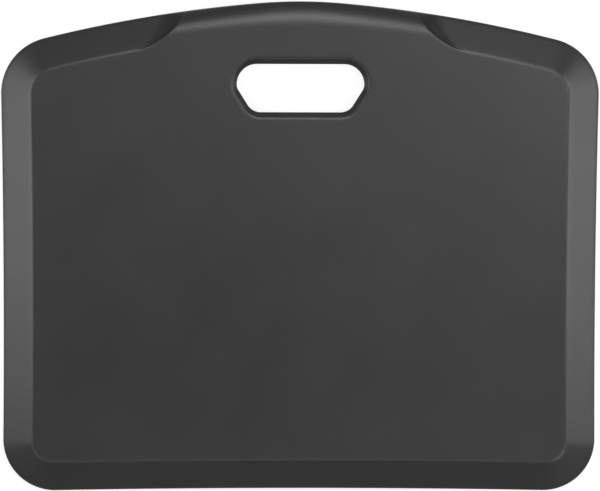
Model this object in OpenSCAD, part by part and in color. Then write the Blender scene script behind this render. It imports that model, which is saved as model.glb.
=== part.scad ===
// Anti-fatigue standing mat with a moulded carry grip.
// A tough grained skin covers a foam core. A flanged liner seals the core inside the hand hole,
// and a non-slip sheet with a honeycomb tread closes the underside.
// Frame: +X to the right, +Y towards the carry grip, +Z up. Millimetres.
// Origin: on the floor, at the middle of the mat's box.

/* [Mat] */
// Width across the mat
mat_w = 610; // [520:1:760]
// Length from the front corners to the crown of the rear edge
mat_l = 503.5; // [440:0.5:640]
// Thickness where the mat is stood on
mat_t = 19; // [16:0.5:28]
// Radius of the front corners in plan
front_corner_r = 53; // [46:1:80]
// Radius of the rear corners in plan
rear_corner_r = 58; // [46:1:80]
// How far the middle of the front edge draws in
front_draw = 2.3; // [0.5:0.1:6]
// How far the middle of each side draws in
side_draw = 1.3; // [0.5:0.1:4]
// Radius of the crown in the middle of the rear edge
crown_r = 500; // [400:10:700]
// Width of the crown
crown_w = 85; // [60:1:140]
// Radius of the rear edge on each side of the crown
shoulder_r = 1390; // [1200:10:2400]

/* [Edges] */
// Width of the sloping edge
bevel_w = 31.5; // [28:0.5:38]
// Thickness of the foam at the foot of the slope
foam_edge_t = 2; // [0.5:0.1:4]
// Gap between the skin's rim and the floor
rim_gap = 0.4; // [0.2:0.1:1]

/* [Carry grip] */
// Length of the carry grip along the rear edge
grip_w = 236; // [190:1:290]
// Radius in plan of the crest where it sweeps out to the rear edge
scoop_r = 70; // [50:0.5:84]
// Radius in plan of the foot of the wall under that crest
scoop_foot_r = 37; // [28:0.5:46]
// How much of the wall's width, as a share on each side of the foot, runs hollow into the slope
scoop_hollow = 0.35; // [0.1:0.05:0.5]
// Width of the rolled edge of the grip
roll_w = 25; // [16:0.5:27.5]
// Radius of the rolled edge
roll_r = 43; // [38:1:80]

/* [Hand hole] */
// Width of the hole at the underside
hole_w = 130; // [110:0.5:160]
// Length of the hole at the underside, from front to rear
hole_l = 49; // [42:0.5:60]
// Slant of the hole's sides below the widest place, in degrees
hole_slant = 32; // [15:1:40]
// Distance from the crown to the hole's rear edge
hole_setback = 64; // [56:0.5:90]
// Radius of the rear corners
hole_rear_r = 20.5; // [12:0.5:26]
// Radius of the side corners
hole_side_r = 12; // [6:0.5:20]
// Radius of the front corners
hole_front_r = 16; // [6:0.5:18]
// How far the front and side walls of the hole lean out from the underside to the top
hole_draft = 4; // [2:0.1:6]
// How far the wall on the grip side leans out
grip_draft = 6.7; // [2:0.1:8]
// Width of the hole's rounded lip
lip_w = 3; // [1.5:0.1:4]
// Height of the lip
lip_h = 1.5; // [1:0.1:3]
// Flat land between the lip and the skin
lip_land = 1.8; // [0.3:0.1:3]

/* [Layers] */
// Thickness of the top skin
skin_t = 1.5; // [1:0.1:2.4]
// Wall of the hand hole liner
liner_t = 1.5; // [1:0.1:2]
// How far the liner's flanges reach into the foam
flange_w = 6; // [4:0.5:9]
// Thickness of the liner's flanges
flange_t = 1.2; // [0.8:0.1:2]
// Thickness of the non-slip sheet
sheet_t = 2; // [1.5:0.1:3.5]
// Glue gap between the non-slip sheet and the pieces around it
glue_gap = 0.2; // [0.1:0.05:0.4]

/* [Tread] */
// Spacing of the honeycomb cells
cell_pitch = 40; // [34:1:60]
// Width of the ribs between the cells
cell_rib = 8; // [5:0.5:14]
// Depth of the cells
cell_depth = 0.8; // [0.4:0.1:1.1]
// Plain border around the tread
tread_border = 14; // [8:1:30]

/* [Hidden] */

skin_grey = [0.27, 0.27, 0.27];
liner_grey = [0.2, 0.2, 0.2];
sheet_grey = [0.15, 0.15, 0.15];
foam_grey = [0.42, 0.42, 0.42];

// Facets along each front or side half, corner, scoop and stretch of the rear edge
edge_steps = 4;
corner_steps = 8;
scoop_steps = 9;
rear_steps = 3;

// Outline: a chain of arcs that run smoothly into each other, the right half from front to rear.
// An edge that draws in is an arc about a centre outside the mat. Its radius follows from the draw,
// the distance from its middle to a corner's centre, and that corner's radius.
function draw_r(reach, draw, corner_r) = (reach * reach + draw * draw) / (2 * draw) - corner_r;

front_corner = [mat_w / 2 - front_corner_r, front_corner_r - mat_l / 2];
rear_corner_x = mat_w / 2 - rear_corner_r;
crown_lean = asin(crown_w / 2 / crown_r);
crown_centre = [0, mat_l / 2 - crown_r];
shoulder_centre = crown_centre - (shoulder_r - crown_r) * [sin(crown_lean), cos(crown_lean)];
shoulder_reach = shoulder_r - rear_corner_r;
shoulder_lean = asin((rear_corner_x - shoulder_centre.x) / shoulder_reach);
rear_corner = shoulder_centre + shoulder_reach * [sin(shoulder_lean), cos(shoulder_lean)];

front_r = draw_r(front_corner.x, front_draw, front_corner_r);
front_lean = asin(front_corner.x / (front_r + front_corner_r));
front_centre = [0, front_draw - mat_l / 2 - front_r];
side_l = rear_corner.y - front_corner.y;
side_front = side_l / 2 + side_draw * (front_corner_r - rear_corner_r) / side_l;
side_r = draw_r(side_front, side_draw, front_corner_r);
side_front_lean = asin(side_front / (side_r + front_corner_r));
side_rear_lean = asin((side_l - side_front) / (side_r + rear_corner_r));
side_centre = [mat_w / 2 - side_draw + side_r, front_corner.y + side_front];

// The crest leaves the slope's upper edge on an arc that meets the rear edge at the end of the grip
scoop_l = sqrt(2 * bevel_w * scoop_r - bevel_w * bevel_w);
scoop_sweep = asin(scoop_l / scoop_r);
grip_lean = asin((grip_w / 2 - shoulder_centre.x) / shoulder_r);

// Distance along the rear edge from the end of the grip, and the edge's lean at such a distance
function along_rear(lean) = (lean - grip_lean) * PI / 180 * shoulder_r;
function rear_lean(along) = grip_lean + along / shoulder_r * 180 / PI;

// A station is a place on the outline: the centre and signed radius of its arc, the direction that
// it faces, and its distance along the rear edge from the end of the grip
function arc_stations(centre, radius, from, to, steps) =
    [for (k = [0:steps - 1]) [centre, radius, from + (to - from) * k / steps, mat_w]];
function rear_stations(centre, radius, leans) =
    [for (lean = leans) [centre, radius, 90 - lean, along_rear(lean)]];
function spread(from, to, steps) = [for (k = [0:steps - 1]) from + (to - from) * k / steps];
function mirrored(station) =
    [[-station[0].x, station[0].y], station[1], 180 - station[2], station[3]];

scoop_leans = [for (k = [0:scoop_steps - 1])
    rear_lean(scoop_l - scoop_r * sin(scoop_sweep * k / scoop_steps))];
right_half = concat(
    arc_stations(front_centre, -front_r, -90, -90 - front_lean, edge_steps),
    arc_stations(front_corner, front_corner_r, -90 - front_lean, side_front_lean, corner_steps),
    arc_stations(side_centre, -side_r, side_front_lean, -side_rear_lean, edge_steps),
    arc_stations(rear_corner, rear_corner_r, -side_rear_lean, 90 - shoulder_lean, corner_steps),
    rear_stations(shoulder_centre, shoulder_r, spread(shoulder_lean, rear_lean(scoop_l), rear_steps)),
    rear_stations(shoulder_centre, shoulder_r, scoop_leans),
    rear_stations(shoulder_centre, shoulder_r, spread(grip_lean, crown_lean, rear_steps)),
    rear_stations(crown_centre, crown_r, spread(crown_lean, 0, rear_steps)));
outline = concat(
    right_half,
    rear_stations(crown_centre, crown_r, [0]),
    [for (k = [len(right_half) - 1:-1:1]) mirrored(right_half[k])]);

function facing(station) = [cos(station[2]), sin(station[2])];
function inset(station, d) = station[0] + (station[1] - d) * facing(station);

// Top surface: its height at a distance d inside the outline
rim_h = sheet_t + foam_edge_t + skin_t;
function bevel_z(d) = rim_h + (mat_t - rim_h) * min(d / bevel_w, 1);
function roll_z(d) = mat_t - roll_r + sqrt(roll_r * roll_r - pow(max(roll_w - d, 0), 2));
// Where an arc of the scoop lies at that distance, measured along the rear edge
function scoop_along(r, d) = scoop_l - sqrt(r * r - pow(d + r - bevel_w, 2));
// 0 up to -h, x from h on, and a smooth bend between
function soft_rise(x, h) = x <= -h ? 0 : x >= h ? x : pow(x + h, 2) / (4 * h);
// 0 on the grip, 1 on the slope, and between them on the scoop's wall, whose foot is hollow
function scoop_share(along, d) = d >= bevel_w ? 1 :
    let (crest = scoop_along(scoop_r, d),
         foot = scoop_along(scoop_foot_r, d),
         share = max(0, (along - crest) / (foot - crest)))
    share - soft_rise(share - 1, scoop_hollow);
function top_z(along, d) = let (share = scoop_share(along, d))
    roll_z(d) * (1 - share) + bevel_z(d) * share;

// Where the scoop's arcs cross a line that runs inwards from the outline
function scoop_depth(r, along) = let (reach = scoop_l - along)
    reach <= 0 ? bevel_w : reach >= r ? 0 : max(0, bevel_w - r + sqrt(r * r - reach * reach));
grip_knot = 0.3 * roll_w; // first knot on the roll that the crest's line runs into
crest_knot = 4; // least distance from the crest to the knot below it
function edge_knots(along) =
    let (crest = along <= 0 ? grip_knot : scoop_depth(scoop_r, along),
         least = crest * 0.4,
         foot = max(least, min(scoop_depth(scoop_foot_r, along), crest - min(crest_knot, least))),
         flat = max(roll_w, crest + crest_knot))
    [0, foot / 2, foot, (foot + crest) / 2, crest,
        (2 * crest + flat) / 3, (crest + 2 * flat) / 3, flat];
profiles = [for (station = outline)
    [for (d = edge_knots(station[3])) [d, top_z(station[3], d)]]];
last_knot = len(profiles[0]) - 1;

// Hand hole: a hexagon with round corners, given by the direction that each place on it faces
hole_rear = mat_l / 2 - hole_setback;
hole_front = hole_rear - hole_l;
hole_mid = (hole_rear + hole_front) / 2;
hole_widest = hole_rear - hole_rear_r;
hole_slant_l = hole_widest - hole_side_r * tan(hole_slant / 2) - hole_front;
hole_front_x = hole_w / 2 - hole_slant_l * tan(hole_slant);
hole_corners = [
    [hole_w / 2 - hole_rear_r, hole_widest],
    [hole_w / 2 - hole_side_r, hole_widest],
    [hole_front_x - hole_front_r * tan(45 - hole_slant / 2), hole_front + hole_front_r]];
hole_radii = [hole_rear_r, hole_side_r, hole_front_r];

function hole_corner(a) = a >= 0 ? 0 : a >= -hole_slant ? 1 : 2;
function hole_right(a, e) = let (k = hole_corner(a))
    hole_corners[k] + (hole_radii[k] + e) * [cos(a), sin(a)];
// The place that faces direction a, on the hole's outline grown by e
function hole_at(a, e) =
    abs(cos(a)) < 0.0001 ? [0, hole_right(a, e).y] :
    cos(a) > 0 ? hole_right(a, e) :
    let (p = hole_right(a < 0 ? -180 - a : 180 - a, e)) [-p.x, p.y];

// Each station of the outline looks at the hole along a line, so the rings of both match
hole_faces = [for (station = outline)
    let (p = inset(station, 0) - [0, hole_mid]) atan2(p.y, p.x)];
// How far the hole's wall has leant out at height z, on the side that faces direction a
function wall_e(a, z) = (hole_draft + (grip_draft - hole_draft) * pow(max(sin(a), 0), 2))
    * (z - rim_gap) / (mat_t - rim_gap);

// Rings of points, one point for each station
function rim_ring(d, z) = [for (station = outline) let (p = inset(station, d)) [p.x, p.y, z]];
function top_ring(k, below) = [for (i = [0:len(outline) - 1])
    let (knot = profiles[i][k], p = inset(outline[i], knot[0] + below))
    [p.x, p.y, knot[1] - below]];
// A ring round the hole at height z, a distance out from where the wall is at another height
function hole_ring(z, out, wall_z) = [for (a = hole_faces)
    let (p = hole_at(a, wall_e(a, wall_z) + out)) [p.x, p.y, z]];

// A closed solid skinned over rings, each joined to the next and the last to the first
module ring_solid(rings) {
    n = len(rings[0]);
    m = len(rings);
    faces = [for (j = [0:m - 1], i = [0:n - 1])
        let (a = j * n + i,
             b = j * n + (i + 1) % n,
             c = (j + 1) % m * n + (i + 1) % n,
             d = (j + 1) % m * n + i)
        each [[a, d, c], [a, c, b]]];
    polyhedron([for (ring = rings) each ring], faces);
}

// Heights of the layers, and distances of the liner's faces from the hole's wall
skin_under = mat_t - skin_t;
flange_under = skin_under - flange_t;
foot_flange_top = sheet_t + flange_t;
lip_z = mat_t - lip_h;
lip_mid = 1 - cos(45); // share of the lip that is left at the middle of its round
seam_out = lip_w + lip_land;
flange_out = seam_out + flange_w;
foot_flange_out = liner_t + flange_w;

// The faces between the liner and the foam, from the top flange to the foot flange
liner_seat = [
    hole_ring(skin_under, flange_out, lip_z),
    hole_ring(flange_under, flange_out, lip_z),
    hole_ring(flange_under, liner_t, flange_under),
    hole_ring(foot_flange_top, liner_t, foot_flange_top),
    hole_ring(foot_flange_top, foot_flange_out, sheet_t),
    hole_ring(sheet_t, foot_flange_out, sheet_t)];
skin_seam = [hole_ring(mat_t, seam_out, lip_z), hole_ring(skin_under, seam_out, lip_z)];

// Honeycomb of cells under the mat, clear of its edge and of the hole
cell_r = (cell_pitch - cell_rib) / sqrt(3);
cell_row = cell_pitch * sqrt(3) / 2;
cell_rows = ceil(mat_l / 2 / cell_row);
cell_columns = ceil(mat_w / 2 / cell_pitch);
cell_clear = skin_t + tread_border + cell_r;
hole_clear = liner_t + tread_border + cell_r;
function inside_outline(p) =
    min([for (station = outline) (inset(station, cell_clear) - p) * facing(station)]) >= 0;
function outside_hole(p) =
    max([for (a = hole_faces)
        (p - hole_at(a, wall_e(a, sheet_t) + hole_clear)) * [cos(a), sin(a)]]) >= 0;
tread_cells = [for (row = [-cell_rows:cell_rows], column = [-cell_columns:cell_columns])
    let (p = [(column + abs(row % 2) / 2) * cell_pitch, row * cell_row])
    if (inside_outline(p) && outside_hole(p)) p];

// Wearing skin over the standing field, the slopes, the scoops and the rolled edge of the grip
module top_skin() {
    color(skin_grey)
    ring_solid(concat(
        [rim_ring(0, rim_gap)],
        [for (k = [0:last_knot]) top_ring(k, 0)],
        skin_seam,
        [for (k = [last_knot:-1:0]) top_ring(k, skin_t)],
        [rim_ring(skin_t, rim_gap)]));
}

// Resilient foam that fills the space between the skin, the liner and the non-slip sheet
module foam_core() {
    color(foam_grey)
    ring_solid(concat(
        [rim_ring(skin_t, sheet_t)],
        [for (k = [0:last_knot]) top_ring(k, skin_t)],
        liner_seat));
}

// Sleeve with two flanges that lines the hand hole and forms its lip
module hand_hole_liner() {
    color(liner_grey)
    ring_solid(concat(
        [hole_ring(rim_gap, liner_t, rim_gap), hole_ring(sheet_t, liner_t, sheet_t)],
        [for (k = [len(liner_seat) - 1:-1:0]) liner_seat[k]],
        [skin_seam[1],
         skin_seam[0],
         hole_ring(mat_t, lip_w, lip_z),
         hole_ring(mat_t - lip_mid * lip_h, lip_mid * lip_w, lip_z),
         hole_ring(lip_z, 0, lip_z),
         hole_ring(rim_gap, 0, rim_gap)]));
}

// Non-slip sheet that the mat lies on, with a honeycomb tread
module base_sheet() {
    edge = [for (station = outline) inset(station, skin_t + glue_gap)];
    opening = [for (a = hole_faces) hole_at(a, wall_e(a, sheet_t) + liner_t + glue_gap)];
    n = len(outline);
    color(sheet_grey)
    difference() {
        linear_extrude(sheet_t)
        polygon(concat(edge, opening), [[for (i = [0:n - 1]) i], [for (i = [0:n - 1]) n + i]]);
        for (p = tread_cells)
            translate([p.x, p.y, -cell_depth])
            rotate(30)
            cylinder(r = cell_r, h = 2 * cell_depth, $fn = 6);
    }
}

top_skin();
foam_core();
hand_hole_liner();
base_sheet();
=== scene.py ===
import math

import bmesh
import bpy
from mathutils import Euler, Matrix, Vector


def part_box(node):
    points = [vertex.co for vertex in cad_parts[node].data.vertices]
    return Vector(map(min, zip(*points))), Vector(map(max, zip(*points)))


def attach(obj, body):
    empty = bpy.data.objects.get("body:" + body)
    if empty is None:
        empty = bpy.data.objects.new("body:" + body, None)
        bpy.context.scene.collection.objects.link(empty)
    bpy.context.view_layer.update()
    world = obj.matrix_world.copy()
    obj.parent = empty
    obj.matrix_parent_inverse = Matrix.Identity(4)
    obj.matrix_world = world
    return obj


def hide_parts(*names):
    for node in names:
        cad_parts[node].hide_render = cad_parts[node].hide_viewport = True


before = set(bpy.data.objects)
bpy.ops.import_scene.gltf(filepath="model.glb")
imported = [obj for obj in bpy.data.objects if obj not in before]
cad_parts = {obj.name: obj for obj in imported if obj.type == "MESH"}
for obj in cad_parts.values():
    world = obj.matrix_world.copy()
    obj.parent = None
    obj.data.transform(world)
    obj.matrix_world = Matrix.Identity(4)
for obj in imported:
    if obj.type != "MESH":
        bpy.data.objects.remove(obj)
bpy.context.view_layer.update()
skinLow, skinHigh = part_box("top_skin")
sheetLow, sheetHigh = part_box("base_sheet")
print("frame loaded:", sorted(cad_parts))

# metres, +Y towards the carry grip, floor at z 0
matPlan = {
    "width": skinHigh.x - skinLow.x,
    "length": skinHigh.y - skinLow.y,
    "thick": skinHigh.z,
    "rimGap": skinLow.z,        # floor to the skin's rim
    "frontCornerR": 0.053,
    "rearCornerR": 0.058,
    "frontDraw": 0.0023,        # how far the middle of an edge draws in
    "sideDraw": 0.0013,
    "crownR": 0.5,              # middle of the rear edge
    "crownW": 0.085,
    "shoulderR": 1.39,          # rear edge beside the crown
    "gripW": 0.236,
    "columnStep": 0.012,        # spacing of the mesh columns on long edges
    "scoopStep": 0.001,
    "scoopMargin": 0.01,        # how far the close columns go on past both ends of a scoop
    "cornerStep": math.radians(2.5),
    "offRear": 1.0,             # stands for a distance along the rear edge on all other edges
}

matSlope = {
    "width": 0.0315,            # sloping edge
    "rimH": 0.0055,
    "rimRound": 0.0012,
    "crestRound": 0.0025,       # half width of the bend from slope to field
    "scoopR": 0.070,            # crest in plan, where it sweeps out to the rear edge
    "scoopFootR": 0.037,        # foot of the wall under that crest
    "scoopSoft": 0.001,         # half width of the bend at the top of the wall
    "scoopFoot": 0.35,          # share of the scoop's wall on each side of its foot that is hollow
    "rollW": 0.025,             # rolled edge of the grip
    "rollTilt": math.radians(13),
    "rollMid": (0.016, 0.0152),  # rear edge to where the roll leans by rollTilt, grip's ends and middle
    "rollR": (0.032, 0.044),    # at the same places
    "gripKnot": 0.005,          # least distance from the rear edge to the rings that follow the crest
}

handHole = {
    "width": 0.130,             # at the underside
    "length": 0.049,
    "setback": 0.064,           # from the crown to the rear edge of the hole
    "slant": math.radians(32),
    "rearR": 0.0205,
    "sideR": 0.012,
    "frontR": 0.016,
    "draft": 0.004,             # how far a wall leans out from bottom to top
    "gripDraft": 0.0067,
    "lipW": 0.0042,
    "gripLipW": 0.0026,
    "lipH": 0.0016,
    "lipLand": 0.0006,          # flat between the lip and the seam
    "midline": 1e-4,            # cosine under which a place counts as on the mat's middle line
}

layers = {
    "skin": 0.0015,
    "liner": 0.0015,
    "flange": 0.006,
    "flangeT": 0.0012,
    "sheet": sheetHigh.z - sheetLow.z,
    "glue": 0.0002,
    "seamRound": 0.00006,
    "roundMid": 0.3,            # where the middle ring of a small round lies, as a share of its radius
}

tiny = 1e-6                     # keeps a division away from zero


def drawRadius(reach, draw, cornerR):
    return (reach * reach + draw * draw) / (2 * draw) - cornerR


def aim(angle):
    return Vector((math.cos(angle), math.sin(angle)))


def spread(start, end, steps):  # the end is left to the next stretch
    return [start + (end - start) * k / steps for k in range(steps)]


def arcStations(centre, radius, start, end, steps):
    return [(centre, radius, angle, matPlan["offRear"]) for angle in spread(start, end, steps)]


def matStations():  # places on the outline: centre, signed radius, facing, distance from the grip's end
    p = matPlan
    halfW, halfL, up = p["width"] / 2, p["length"] / 2, math.pi / 2
    front = Vector((halfW - p["frontCornerR"], p["frontCornerR"] - halfL))
    crownLean = math.asin(p["crownW"] / 2 / p["crownR"])
    crown = Vector((0, halfL - p["crownR"]))
    shoulder = crown - (p["shoulderR"] - p["crownR"]) * aim(up - crownLean)
    reach = p["shoulderR"] - p["rearCornerR"]
    shoulderLean = math.asin((halfW - p["rearCornerR"] - shoulder.x) / reach)
    rear = shoulder + reach * aim(up - shoulderLean)
    gripLean = math.asin((p["gripW"] / 2 - shoulder.x) / p["shoulderR"])

    frontR = drawRadius(front.x, p["frontDraw"], p["frontCornerR"])
    frontLean = math.asin(front.x / (frontR + p["frontCornerR"]))
    frontMid = Vector((0, p["frontDraw"] - halfL - frontR))
    sideL = rear.y - front.y
    sideFront = sideL / 2 + p["sideDraw"] * (p["frontCornerR"] - p["rearCornerR"]) / sideL
    sideR = drawRadius(sideFront, p["sideDraw"], p["frontCornerR"])
    sideFrontLean = math.asin(sideFront / (sideR + p["frontCornerR"]))
    sideRearLean = math.asin((sideL - sideFront) / (sideR + p["rearCornerR"]))
    sideMid = Vector((halfW - p["sideDraw"] + sideR, front.y + sideFront))

    def rearStations(centre, radius, start, end, step):
        steps = max(1, round(abs(end - start) * radius / step))
        return [(centre, radius, up - lean, (lean - gripLean) * p["shoulderR"])
                for lean in spread(start, end, steps)]

    def leanAt(along):
        return gripLean + along / p["shoulderR"]

    cornerSteps = round(up / p["cornerStep"])
    scoopEnd, gripStart = leanAt(scoopLength() + p["scoopMargin"]), leanAt(-p["scoopMargin"])
    right = [
        *arcStations(frontMid, -frontR, -up, -up - frontLean, round(front.x / p["columnStep"])),
        *arcStations(front, p["frontCornerR"], -up - frontLean, sideFrontLean, cornerSteps),
        *arcStations(sideMid, -sideR, sideFrontLean, -sideRearLean, round(sideL / p["columnStep"])),
        *arcStations(rear, p["rearCornerR"], -sideRearLean, up - shoulderLean, cornerSteps),
        *rearStations(shoulder, p["shoulderR"], shoulderLean, scoopEnd, p["columnStep"]),
        *rearStations(shoulder, p["shoulderR"], scoopEnd, gripStart, p["scoopStep"]),
        *rearStations(shoulder, p["shoulderR"], gripStart, crownLean, p["columnStep"]),
        *rearStations(crown, p["crownR"], crownLean, 0, p["columnStep"]),
    ]
    crownTop = (crown, p["crownR"], up, -gripLean * p["shoulderR"])
    left = [(Vector((-c.x, c.y)), r, math.pi - angle, along) for c, r, angle, along in right[:0:-1]]
    return [*right, crownTop, *left]


def insetPoint(station, d):
    centre, radius, angle, _ = station
    return centre + (radius - d) * aim(angle)


# height of the top at a distance d inside the outline

def scoopLength():
    w, r = matSlope["width"], matSlope["scoopR"]
    return math.sqrt(2 * w * r - w * w)


def softRise(x, h):  # 0 before -h, x after h, a smooth bend between
    if x <= -h:
        return 0.0
    return x if x >= h else (x + h) ** 2 / (4 * h)


def slopeLine(d):
    return matSlope["rimH"] + (matPlan["thick"] - matSlope["rimH"]) * min(d / matSlope["width"], 1)


def rollLine(along, d):
    share = min(max(-2 * along / matPlan["gripW"], 0), 1)
    mid, r = [a + (b - a) * share for a, b in (matSlope["rollMid"], matSlope["rollR"])]
    reach = max(mid + r * math.sin(matSlope["rollTilt"]) - d, 0)
    return matPlan["thick"] - r + math.sqrt(r * r - reach * reach)


def scoopLine(r, d):
    return scoopLength() - math.sqrt(max(r * r - (d + r - matSlope["width"]) ** 2, 0))


def coveShare(along, d):  # 0 on the grip, 1 on the slope
    if d >= matSlope["width"]:
        return 0.0
    crest, foot = scoopLine(matSlope["scoopR"], d), scoopLine(matSlope["scoopFootR"], d)
    share = softRise(along - crest, matSlope["scoopSoft"]) / max(foot - crest, tiny)
    return share - softRise(share - 1, matSlope["scoopFoot"])


def crestGap(along, d):  # distance from the crest, negative on the slope
    s = matSlope
    if along >= scoopLength():
        return d - s["width"]
    return math.hypot(scoopLength() - along, d + s["scoopR"] - s["width"]) - s["scoopR"]


def topHeight(along, d):
    s, thick = matSlope, matPlan["thick"]
    share = coveShare(along, d)
    high = rollLine(along, d) if along < scoopLength() else thick
    gap = crestGap(along, d)
    bend = softRise(-gap, s["crestRound"]) - max(-gap, 0)
    z = high - (high - slopeLine(d)) * share - (thick - s["rimH"]) / s["width"] * bend
    if d < s["rimRound"]:
        z -= s["rimRound"] - math.sqrt(s["rimRound"] ** 2 - (s["rimRound"] - d) ** 2)
    return z


def crestDepth(along):  # from the outline to the crest
    w, r = matSlope["width"], matSlope["scoopR"]
    reach = scoopLength() - along
    if reach <= 0:
        return w
    return max(w - r + math.sqrt(max(r * r - reach * reach, 0)), matSlope["gripKnot"])


edgeMesh = {  # rings of the mesh, by their distance from the outline or the crest
    "rim": [0, 0.0001, 0.00035, 0.0007, 0.0012],
    "crest": [-0.0024, -0.0016, -0.0008, 0, 0.0008, 0.0016, 0.0024],
    "slopeSteps": 9,
    "rollSteps": 10,
    "flatGap": 0.0016,          # least room for the rings between the crest and the flat field
    "flatEnd": 0.0015,
    "inner": [0, 4, 8, 13, 16, 19, 22, 25, 28],  # rings that the skin's inner face keeps, with the last one
}


def edgeKnots(along):  # where the rings cross one column of the mesh
    m, crest = edgeMesh, crestDepth(along)
    low, high = crest + m["crest"][0], crest + m["crest"][-1]
    flat = max(matSlope["rollW"], high + m["flatGap"])
    return [*m["rim"], *spread(m["rim"][-1], low, m["slopeSteps"])[1:], *[crest + k for k in m["crest"]],
            *spread(high, flat, m["rollSteps"])[1:], flat, flat + m["flatEnd"]]


# hand hole: a hexagon with round corners, each place on it known by the direction that it faces

def holeCorners():
    h = handHole
    rear = matPlan["length"] / 2 - h["setback"]
    front, widest = rear - h["length"], rear - h["rearR"]
    slantL = widest - h["sideR"] * math.tan(h["slant"] / 2) - front
    frontX = h["width"] / 2 - slantL * math.tan(h["slant"])
    frontX -= h["frontR"] * math.tan(math.pi / 4 - h["slant"] / 2)
    return [(Vector((h["width"] / 2 - h["rearR"], widest)), h["rearR"]),
            (Vector((h["width"] / 2 - h["sideR"], widest)), h["sideR"]),
            (Vector((frontX, front + h["frontR"])), h["frontR"])]


def holePoint(angle, e):  # on the hole's outline grown by e
    turned = math.atan2(math.sin(angle), abs(math.cos(angle)))
    centre, radius = holeCorners()[0 if turned >= 0 else 1 if turned >= -handHole["slant"] else 2]
    p = centre + (radius + e) * aim(turned)
    if abs(math.cos(angle)) < handHole["midline"]:
        p.x = 0
    return p if math.cos(angle) >= 0 else Vector((-p.x, p.y))


def gripShare(angle):  # 1 on the grip's side of the hole, 0 on its front
    return max(math.sin(angle), 0) ** 2


def wallLean(angle, z):  # how far the wall has leant out at height z
    h = handHole
    draft = h["draft"] + (h["gripDraft"] - h["draft"]) * gripShare(angle)
    return draft * (z - matPlan["rimGap"]) / (matPlan["thick"] - matPlan["rimGap"])


def holeRing(faces, z, out, wallZ, gripOut=None):
    more = 0 if gripOut is None else gripOut - out
    return [holePoint(a, wallLean(a, wallZ) + out + more * gripShare(a)).to_3d() + Vector((0, 0, z))
            for a in faces]


# rings of points made into closed skins

def extrudeLoop(bm, loop):
    rim = [bm.edges.get((a, b)) for a, b in zip(loop, loop[1:] + loop[:1])]
    made = bmesh.ops.extrude_edge_only(bm, edges=rim)["geom"]
    new = {v for v in made if isinstance(v, bmesh.types.BMVert)}
    return [next(e.other_vert(v) for e in v.link_edges if e.other_vert(v) in new) for v in loop]


def walkLoop(verts):  # the verts of a new circle in their order round it
    loop = [verts[0], verts[0].link_edges[0].other_vert(verts[0])]
    while len(loop) < len(verts):
        ends = [e.other_vert(loop[-1]) for e in loop[-1].link_edges]
        loop.append(ends[1] if ends[0] is loop[-2] else ends[0])
    return loop


def placeLoop(loop, ring):
    for v, p in zip(loop, ring):
        v.co = p


def ringTube(bm, rings):
    loop = walkLoop(bmesh.ops.create_circle(bm, segments=len(rings[0]), radius=1)["verts"])
    placeLoop(loop, rings[0])
    loops = [loop]
    for ring in rings[1:]:
        loops.append(extrudeLoop(bm, loops[-1]))
        placeLoop(loops[-1], ring)
    return loops


def ringSolid(bm, rings):
    loops = ringTube(bm, rings)
    closing = extrudeLoop(bm, loops[-1])
    bmesh.ops.weld_verts(bm, targetmap=dict(zip(closing, loops[0])))
    bmesh.ops.recalc_face_normals(bm, faces=bm.faces)
    return loops


def finishPiece(bm, name, material, node, sharp=math.radians(35)):
    mesh = bpy.data.meshes.new(name)
    bm.to_mesh(mesh)
    bm.free()
    mesh.shade_smooth()
    mesh.set_sharp_from_angle(angle=sharp)
    mesh.materials.append(material)
    piece = bpy.data.objects.new(name, mesh)
    bpy.context.scene.collection.objects.link(piece)
    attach(piece, "root")
    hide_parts(node)
    print(name, "has", len(mesh.polygons), "faces")
    return piece


# materials

def newMaterial(name):
    material = bpy.data.materials.new(name)
    material.use_nodes = True
    tree = material.node_tree
    shader = tree.nodes["Principled BSDF"]
    place = tree.nodes.new("ShaderNodeTexCoord").outputs["Object"]
    return material, tree, shader, place


def addNode(tree, kind, inputs=None, **settings):
    node = tree.nodes.new(kind)
    for key, value in settings.items():
        setattr(node, key, value)
    for key, value in (inputs or {}).items():
        if isinstance(value, bpy.types.NodeSocket):
            tree.links.new(value, node.inputs[key])
        else:
            node.inputs[key].default_value = value
    return node


def remap(tree, value, low, high, fromLow=0.0, fromHigh=1.0):
    node = addNode(tree, "ShaderNodeMapRange",
                   {"Value": value, "From Min": fromLow, "From Max": fromHigh,
                    "To Min": low, "To Max": high})
    return node.outputs["Result"]


def math2(tree, operation, a, b):
    return addNode(tree, "ShaderNodeMath", {0: a, 1: b}, operation=operation).outputs[0]


def noise(tree, place, scale, detail):
    node = addNode(tree, "ShaderNodeTexNoise", {"Vector": place, "Scale": scale, "Detail": detail})
    return node.outputs["Fac"]


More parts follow.
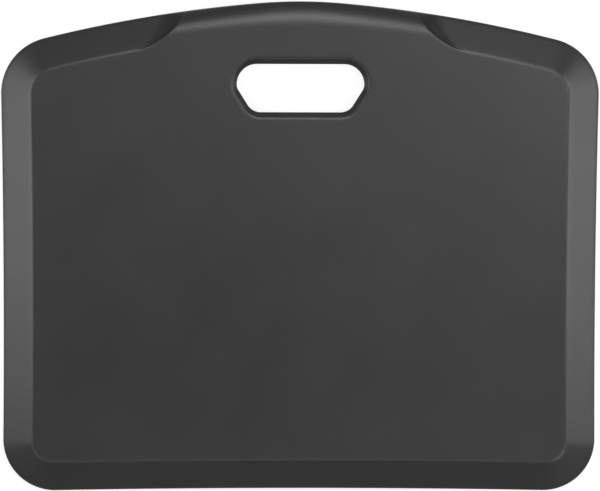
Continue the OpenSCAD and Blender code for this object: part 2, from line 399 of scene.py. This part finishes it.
def mouldedSkin(name, look):
    material, tree, shader, place = newMaterial(name)
    cloud = noise(tree, place, look["cloudScale"], look["cloudDetail"])
    speck = noise(tree, place, look["speckScale"], look["speckDetail"])
    pebble = addNode(tree, "ShaderNodeTexVoronoi",
                     {"Vector": place, "Scale": look["pebbleScale"], "Smoothness": look["pebbleSmooth"]},
                     feature="SMOOTH_F1").outputs["Distance"]
    rub = addNode(tree, "ShaderNodeAttribute", attribute_name="edgeRub").outputs["Fac"]
    shade = addNode(tree, "ShaderNodeAttribute", attribute_name="shade").outputs["Fac"]

    cloudTone = remap(tree, cloud, -look["cloudTone"], look["cloudTone"], *look["noiseRange"])
    speckTone = remap(tree, speck, -look["speckTone"], look["speckTone"], *look["noiseRange"])
    tone = math2(tree, "ADD", cloudTone, speckTone)
    tone = math2(tree, "ADD", tone, math2(tree, "MULTIPLY", rub, look["rubTone"]))
    # painted shade: the shade attribute darkens the base colour on the walls of the scoops and the hole,
    # and towards the bottom of the cells
    tone = math2(tree, "ADD", tone, math2(tree, "MULTIPLY", shade, look["shadeTone"]))
    value = math2(tree, "MULTIPLY", math2(tree, "ADD", tone, 1.0), look["grey"])
    colour = addNode(tree, "ShaderNodeCombineColor", {"Red": value, "Green": value, "Blue": value})
    tree.links.new(colour.outputs["Color"], shader.inputs["Base Color"])

    vary = remap(tree, cloud, -look["roughVary"], look["roughVary"], *look["noiseRange"])
    rough = math2(tree, "ADD", vary, look["rough"])
    rough = math2(tree, "SUBTRACT", rough, math2(tree, "MULTIPLY", rub, look["rubRough"]))
    rough = math2(tree, "ADD", rough, math2(tree, "MULTIPLY", shade, look["shadeRough"]))
    tree.links.new(rough, shader.inputs["Roughness"])
    shader.inputs["Specular IOR Level"].default_value = look["specular"]

    grain = math2(tree, "ADD", math2(tree, "MULTIPLY", pebble, look["pebbleDepth"]),
                  math2(tree, "MULTIPLY", speck, look["speckDepth"]))
    bump = addNode(tree, "ShaderNodeBump",
                   {"Height": grain, "Strength": 1.0, "Distance": look["grainDepth"]})
    tree.links.new(bump.outputs["Normal"], shader.inputs["Normal"])
    return material


skinLook = {
    "grey": 0.022, "rough": 0.33, "specular": 0.5,
    "noiseRange": (0.3, 0.7),   # what the noise mostly covers
    "cloudScale": 14.0, "cloudDetail": 3.0, "cloudTone": 0.05, "roughVary": 0.02,
    "speckScale": 900.0, "speckDetail": 2.0, "speckTone": 0.06, "speckDepth": 0.35,
    "pebbleScale": 950.0, "pebbleSmooth": 0.6, "pebbleDepth": -1.0, "grainDepth": 0.00006,
    "rubTone": 0.10, "rubRough": 0.05,        # on worn crests and ribs
    "shadeTone": -0.85, "shadeRough": -0.05,  # painted shade on the walls of the scoops and the hole; darker towards the bottom of the cells
}
# the liner keeps the skin's painted shade on its wall, with a rougher finish there
linerLook = {**skinLook, "shadeRough": 0.65}
sheetLook = {**skinLook, "rough": 0.7, "specular": 0.35, "pebbleScale": 700.0, "speckTone": 0.15,
             "grainDepth": 0.0001, "rubTone": 0.45, "shadeTone": -0.3, "shadeRough": 0.12}
foamLook = {**skinLook, "grey": 0.075, "rough": 0.9, "specular": 0.2, "pebbleScale": 1400.0,
            "speckTone": 0.25, "pebbleDepth": 1.0, "grainDepth": 0.0004}

# pieces

stations = matStations()
holeMid = matPlan["length"] / 2 - handHole["setback"] - handHole["length"] / 2
holeFaces = []
for station in stations:
    ray = insetPoint(station, 0) - Vector((0, holeMid))
    holeFaces.append(math.atan2(ray.y, ray.x))
knots = [edgeKnots(station[3]) for station in stations]
print("outline has", len(stations), "columns and", len(knots[0]), "rings")

topZ, rimGap = matPlan["thick"], matPlan["rimGap"]
lipZ = topZ - handHole["lipH"]
seamOut = handHole["lipW"] + handHole["lipLand"]
skinUnder = topZ - layers["skin"]
innerKnots = [*edgeMesh["inner"], len(knots[0]) - 1]


def topRing(k):
    return [insetPoint(s, d[k]).to_3d() + Vector((0, 0, topHeight(s[3], d[k])))
            for s, d in zip(stations, knots)]


def innerRing(k):
    t = layers["skin"]
    return [insetPoint(s, d[k] + t).to_3d() + Vector((0, 0, topHeight(s[3], d[k]) - t))
            for s, d in zip(stations, knots)]


def rimRing(d, z):
    return [insetPoint(s, d).to_3d() + Vector((0, 0, z)) for s in stations]


def betweenRings(a, b, shares):
    return [[p.lerp(q, share) for p, q in zip(a, b)] for share in shares]


topSkin = {
    "footRound": 0.0004,
    "fieldShares": [0.12, 0.3, 0.5, 0.7, 0.88],  # rings across the flat field
    "seamSupport": 0.0003,      # ring beside the seam that keeps its round from shading the field
    "paintedShadeStart": 0.0015,       # crest to the full painted shade of a scoop's wall
}


def paintedWallShade(along, d):  # painted shade: 1 on the scoop's wall under the crest, 0 on the slope and the grip
    if d >= matSlope["width"] or along >= scoopLength():
        return 0.0
    crest, foot = scoopLine(matSlope["scoopR"], d), scoopLine(matSlope["scoopFootR"], d)
    rise = min(max(-crestGap(along, d) / topSkin["paintedShadeStart"], 0), 1)
    return rise * min(max(1 - (along - crest) / max(foot - crest, tiny), 0), 1)


def makeTopSkin():
    t, foot, seam, mid = topSkin, topSkin["footRound"], layers["seamRound"], layers["roundMid"]
    footSide = [rimRing(foot, rimGap), rimRing(mid * foot, rimGap + mid * foot), rimRing(0, rimGap + foot)]
    edge = [topRing(k) for k in range(len(knots[0]))]
    seamSide = [holeRing(holeFaces, topZ, seamOut + t["seamSupport"], lipZ),
                holeRing(holeFaces, topZ, seamOut + seam, lipZ),
                holeRing(holeFaces, topZ - mid * seam, seamOut + mid * seam, lipZ),
                holeRing(holeFaces, topZ - seam, seamOut, lipZ),
                holeRing(holeFaces, skinUnder, seamOut, lipZ)]
    rings = [*footSide, *edge, *betweenRings(edge[-1], seamSide[0], t["fieldShares"]), *seamSide,
             *[innerRing(k) for k in reversed(innerKnots)],
             rimRing(layers["skin"], rimGap)]
    bm = bmesh.new()
    rub = bm.verts.layers.float.new("edgeRub")
    shade = bm.verts.layers.float.new("shade")
    loops = ringSolid(bm, rings)
    for k, loop in enumerate(loops[len(footSide):len(footSide) + len(edge)]):
        for v, station, d in zip(loop, stations, knots):
            v[rub] = math.exp(-(crestGap(station[3], d[k]) / matSlope["crestRound"]) ** 2)
            # painted shade on the scoops' walls
            v[shade] = paintedWallShade(station[3], d[k])
    finishPiece(bm, "topSkin", mouldedSkin("grainedSkin", skinLook), "top_skin")


def linerSeat(faces):  # faces between the liner and the foam
    flangeUnder = skinUnder - layers["flangeT"]
    footTop = layers["sheet"] + layers["flangeT"]
    flangeOut, footOut = seamOut + layers["flange"], layers["liner"] + layers["flange"]
    return [holeRing(faces, skinUnder, flangeOut, lipZ),
            holeRing(faces, flangeUnder, flangeOut, lipZ),
            holeRing(faces, flangeUnder, layers["liner"], flangeUnder),
            holeRing(faces, footTop, layers["liner"], footTop),
            holeRing(faces, footTop, footOut, layers["sheet"]),
            holeRing(faces, layers["sheet"], footOut, layers["sheet"])]


def makeFoamCore():
    rings = [rimRing(layers["skin"], layers["sheet"]), *[innerRing(k) for k in innerKnots],
             *linerSeat(holeFaces)]
    bm = bmesh.new()
    ringSolid(bm, rings)
    piece = finishPiece(bm, "foamCore", mouldedSkin("mouldedFoam", foamLook), "foam_core")


linerRing = {
    "arcStep": math.radians(3),
    "leastSteps": 4,
    "endGap": 1e-3,             # radians between the last direction and its mirror image
    "lipSteps": 8,
    "wallSteps": 4,
    "footRound": 0.0004,
    "paintedSideShade": 0.62,          # painted shade of the wall at the hole's left and right ends, where it is lighter
}


def linerFaces():  # directions round the hole, closer together on its corners
    half = [-math.pi / 2, -handHole["slant"], 0, math.pi / 2]
    turns = []
    for start, end in zip(half, half[1:]):
        steps = round((end - start) / linerRing["arcStep"])
        turns += spread(start, end, max(linerRing["leastSteps"], steps))
    turns.append(half[-1] - linerRing["endGap"])
    return turns + [math.pi - a for a in reversed(turns[1:])]


def makeHandHoleLiner():
    n, h, faces = linerRing, handHole, linerFaces()
    lip = []
    for turn in spread(math.pi / 2, 0, n["lipSteps"]) + [0]:
        z, share = lipZ + h["lipH"] * math.sin(turn), 1 - math.cos(turn)
        lip.append(holeRing(faces, z, h["lipW"] * share, lipZ, h["gripLipW"] * share))
    low = rimGap + n["footRound"]
    wall = [holeRing(faces, z, 0, z) for z in spread(lipZ, low, n["wallSteps"])[1:] + [low]]
    rings = [holeRing(faces, rimGap, layers["liner"], rimGap),
             holeRing(faces, layers["sheet"], layers["liner"], layers["sheet"]),
             *reversed(linerSeat(faces)),
             holeRing(faces, skinUnder, seamOut, lipZ),
             holeRing(faces, topZ - layers["seamRound"], seamOut, lipZ),
             holeRing(faces, topZ, seamOut - layers["seamRound"], lipZ),
             holeRing(faces, topZ, seamOut - topSkin["seamSupport"], lipZ),
             *lip, *wall,
             holeRing(faces, rimGap, n["footRound"], rimGap)]
    bm = bmesh.new()
    shade = bm.verts.layers.float.new("shade")
    loops = ringSolid(bm, rings)
    for loop in loops[-len(wall) - 2:] + loops[:2]:  # painted shade from the lip down the wall and round its foot
        for v, a in zip(loop, faces):
            turned = min(abs(math.sin(a) / math.sin(h["slant"])), 1)
            v[shade] = n["paintedSideShade"] + (1 - n["paintedSideShade"]) * turned
    finishPiece(bm, "handHoleLiner", mouldedSkin("linerSkin", linerLook), "hand_hole_liner")


tread = {
    "pitch": 0.040,
    "rib": 0.008,
    "depth": 0.0008,
    "border": 0.014,            # plain band along the edge and round the hole
    "draft": 0.0003,
    "round": 0.0002,
    "edgeRound": 0.0005,
    "flat": 1e-5,               # height over which a place isn't on a rib's face
    "weld": 0.0002,             # corners of neighbouring cells that are closer than this are one
}


def treadCells(faces):
    t = tread
    cellR = (t["pitch"] - t["rib"]) / math.sqrt(3)
    row = t["pitch"] * math.sqrt(3) / 2
    rows = math.ceil(matPlan["length"] / 2 / row)
    columns = math.ceil(matPlan["width"] / 2 / t["pitch"])
    edgeClear = layers["skin"] + t["border"] + cellR
    holeClear = layers["liner"] + t["border"] + cellR
    edge = [(insetPoint(s, edgeClear), aim(s[2])) for s in stations]
    hole = [(holePoint(a, wallLean(a, layers["sheet"]) + holeClear), aim(a)) for a in faces]
    cells = []
    for j in range(-rows, rows + 1):
        for i in range(-columns, columns + 1):
            p = Vector(((i + (j % 2) / 2) * t["pitch"], j * row))
            if all((q - p).dot(n) >= 0 for q, n in edge) and any((p - q).dot(n) >= 0 for q, n in hole):
                cells.append(p)
    return cells


def makeBaseSheet():
    t, faces = tread, linerFaces()
    bm = bmesh.new()
    rub = bm.verts.layers.float.new("edgeRub")
    shade = bm.verts.layers.float.new("shade")
    tileR = t["pitch"] / math.sqrt(3)
    for p in treadCells(faces):
        bmesh.ops.create_circle(bm, cap_ends=True, segments=6, radius=tileR,
                                matrix=Matrix.Translation(p.to_3d()))
    bmesh.ops.remove_doubles(bm, verts=bm.verts, dist=t["weld"])
    bmesh.ops.recalc_face_normals(bm, faces=bm.faces)
    bmesh.ops.reverse_faces(bm, faces=[f for f in bm.faces if f.normal.z > 0])
    cells = list(bm.faces)
    bmesh.ops.inset_individual(bm, faces=cells, thickness=t["rib"] / 2, use_even_offset=True)
    bmesh.ops.inset_individual(bm, faces=cells, thickness=t["draft"], depth=-t["depth"],
                               use_even_offset=True)
    rims = []
    for f in cells:
        rims += list(f.edges)
        for e in f.edges:
            wall = next(g for g in e.link_faces if g is not f)
            rims += [x for x in wall.edges if not set(x.verts) & set(e.verts)]
    bmesh.ops.bevel(bm, geom=rims, offset=t["round"], affect="EDGES", segments=2, profile=0.5, material=-1,
                    clamp_overlap=True)
    for v in bm.verts:
        v[shade] = min(v.co.z / t["depth"], 1)  # dark in the cells
        climbs = any(e.other_vert(v).co.z > t["flat"] for e in v.link_edges)
        v[rub] = float(v.co.z < t["depth"] / 2 and climbs)
    patchRim = [e for e in bm.edges if e.is_boundary]

    d, r, top = layers["skin"] + layers["glue"], t["edgeRound"], layers["sheet"]
    out, mid = layers["liner"] + layers["glue"], layers["roundMid"]
    edgeRings = [rimRing(d + r, 0), rimRing(d + mid * r, mid * r), rimRing(d, r), rimRing(d, top)]
    holeRings = [holeRing(faces, 0, out + r, top), holeRing(faces, mid * r, out + mid * r, top),
                 holeRing(faces, r, out, top), holeRing(faces, top, out, top)]
    outer, inner = ringTube(bm, edgeRings), ringTube(bm, holeRings)

    def loopEdges(loop):
        return [bm.edges.get((a, b)) for a, b in zip(loop, loop[1:] + loop[:1])]

    bmesh.ops.triangle_fill(bm, use_beauty=True, normal=(0, 0, -1),
                            edges=patchRim + loopEdges(outer[0]) + loopEdges(inner[0]))
    bmesh.ops.triangle_fill(bm, use_beauty=True, normal=(0, 0, 1),
                            edges=loopEdges(outer[-1]) + loopEdges(inner[-1]))
    bmesh.ops.recalc_face_normals(bm, faces=bm.faces)
    finishPiece(bm, "baseSheet", mouldedSkin("treadRubber", sheetLook), "base_sheet")


makeTopSkin()
makeFoamCore()
makeHandHoleLiner()
makeBaseSheet()

# camera, lamps and floor

photoView = {
    "tiltToGrip": math.radians(5.33),
    "tiltToRight": math.radians(-1.145),
    "roll": math.radians(0.186),
    "distance": 3.0,
    "aimY": 0.0018,
    "frameW": 0.6161,           # what the picture's width shows at the floor
    "sensorW": 36,
}


def makeCamera():
    v = photoView
    turn = Euler((-v["tiltToGrip"], v["tiltToRight"], 0)).to_matrix()
    camera = bpy.data.objects.new("camera", bpy.data.cameras.new("camera"))
    camera.data.sensor_width = v["sensorW"]
    camera.data.lens = v["sensorW"] * v["distance"] / v["frameW"]
    place = Vector((0, v["aimY"], 0)) + turn @ Vector((0, 0, v["distance"]))
    camera.matrix_world = Matrix.Translation(place) @ (turn @ Matrix.Rotation(v["roll"], 3, "Z")).to_4x4()
    bpy.context.scene.collection.objects.link(camera)
    bpy.context.scene.camera = camera


lamps = {  # place, what it looks at, width, height, brightness of its face
    "leftBox": ((-1.12, 0.20, 0.96), (0.0, 0.05, 0.0), 1.05, 0.5, 3.65),
    "leftLow": ((-1.33, 0.05, 0.66), (0.0, 0.0, 0.0), 0.9, 0.3, 2.05),
    "rightBox": ((1.12, 0.20, 0.96), (0.0, 0.05, 0.0), 1.05, 0.5, 3.45),
    "rightLow": ((1.33, 0.0, 0.66), (0.0, 0.0, 0.0), 0.9, 0.3, 2.65),
    "rearTop": ((0.02, 0.93, 1.55), (0.0, 0.10, 0.0), 0.7, 0.55, 5.8),
    "rearTopRight": ((0.55, 0.82, 1.55), (0.15, 0.10, 0.0), 0.4, 0.75, 2.25),
    "rearTopLeft": ((-0.42, 0.72, 1.55), (-0.15, 0.10, 0.0), 0.35, 0.35, 1.2),
    "rearRight": ((0.60, 1.25, 1.25), (0.15, 0.15, 0.0), 0.5, 0.4, 0.9),
    "overRight": ((0.6, 0.20, 1.60), (0.0, 0.0, 0.0), 0.5, 0.35, 3.65),
    "overMid": ((0.05, 0.08, 1.60), (0.0, 0.0, 0.0), 0.45, 0.3, 1.3),
    "overLeft": ((-0.50, 0.12, 1.60), (0.0, 0.0, 0.0), 0.4, 0.3, 0.85),
    "overFront": ((0.15, -0.88, 1.60), (0.0, 0.0, 0.0), 1.7, 0.7, 0.72),
    "frontLow": ((0.0, -1.38, 0.44), (0.0, 0.0, 0.0), 2.2, 0.4, 0.27),
    "frontLeft": ((-0.85, -0.80, 1.0), (0.0, 0.0, 0.0), 0.5, 0.4, 1.35),
    "frontRight": ((0.85, -0.80, 1.0), (0.0, 0.0, 0.0), 0.5, 0.4, 2.6),
}


def makeLamps():
    for name, (place, target, width, height, glow) in lamps.items():
        data = bpy.data.lights.new(name, "AREA")
        data.shape = "RECTANGLE"
        data.size, data.size_y = width, height
        data.energy = glow * math.pi * width * height
        lamp = bpy.data.objects.new(name, data)
        lamp.location = place
        lamp.rotation_euler = (Vector(target) - Vector(place)).to_track_quat("-Z", "Y").to_euler()
        lamp.visible_camera = False
        bpy.context.scene.collection.objects.link(lamp)


studio = {
    "floorSize": 7.0,
    "floorGrey": 0.35,
    "floorRough": 0.9,
    "floorGlow": 0.72,          # near the mat, low enough to keep its shadow
    "farFloor": (0.8, 2.0),     # where the floor starts to turn plain white, and where it is
    "worldGrey": 0.19,
    "bandTop": 0.04,            # sine of the height up to which the backdrop is white
    "bandFade": 0.08,
}


def whiteRays(tree):  # rays that show the white studio
    path = addNode(tree, "ShaderNodeLightPath").outputs
    seen = math2(tree, "MAXIMUM", path["Is Camera Ray"], path["Is Glossy Ray"])
    return math2(tree, "MAXIMUM", seen, path["Is Transmission Ray"])


def makeFloor():
    material, tree, shader, place = newMaterial("studioFloor")
    shader.inputs["Base Color"].default_value = (studio["floorGrey"],) * 3 + (1,)
    shader.inputs["Roughness"].default_value = studio["floorRough"]
    shader.inputs["Specular IOR Level"].default_value = 0.0
    shader.inputs["Emission Color"].default_value = (1, 1, 1, 1)
    far = addNode(tree, "ShaderNodeVectorMath", {0: place}, operation="LENGTH").outputs["Value"]
    glow = remap(tree, far, studio["floorGlow"], 1.0, *studio["farFloor"])
    tree.links.new(math2(tree, "MULTIPLY", whiteRays(tree), glow), shader.inputs["Emission Strength"])
    bm = bmesh.new()
    bmesh.ops.create_grid(bm, x_segments=1, y_segments=1, size=studio["floorSize"])
    mesh = bpy.data.meshes.new("floor")
    bm.to_mesh(mesh)
    bm.free()
    mesh.materials.append(material)
    floor = bpy.data.objects.new("floor", mesh)
    bpy.context.scene.collection.objects.link(floor)


def makeWorld():
    world = bpy.data.worlds.new("studio")
    world.use_nodes = True
    tree = world.node_tree
    sky = tree.nodes["Background"]
    way = addNode(tree, "ShaderNodeSeparateXYZ",
                  {"Vector": addNode(tree, "ShaderNodeTexCoord").outputs["Generated"]}).outputs["Z"]
    low = remap(tree, way, 1.0, 0.0, studio["bandTop"], studio["bandFade"])
    band = math2(tree, "MULTIPLY", low, whiteRays(tree))
    sky.inputs["Color"].default_value = (1, 1, 1, 1)
    tree.links.new(remap(tree, band, studio["worldGrey"], 1.0), sky.inputs["Strength"])
    bpy.context.scene.world = world


makeCamera()
makeLamps()
makeFloor()
makeWorld()
bpy.context.scene.view_settings.view_transform = "Standard"
print("camera, lamps and floor set")
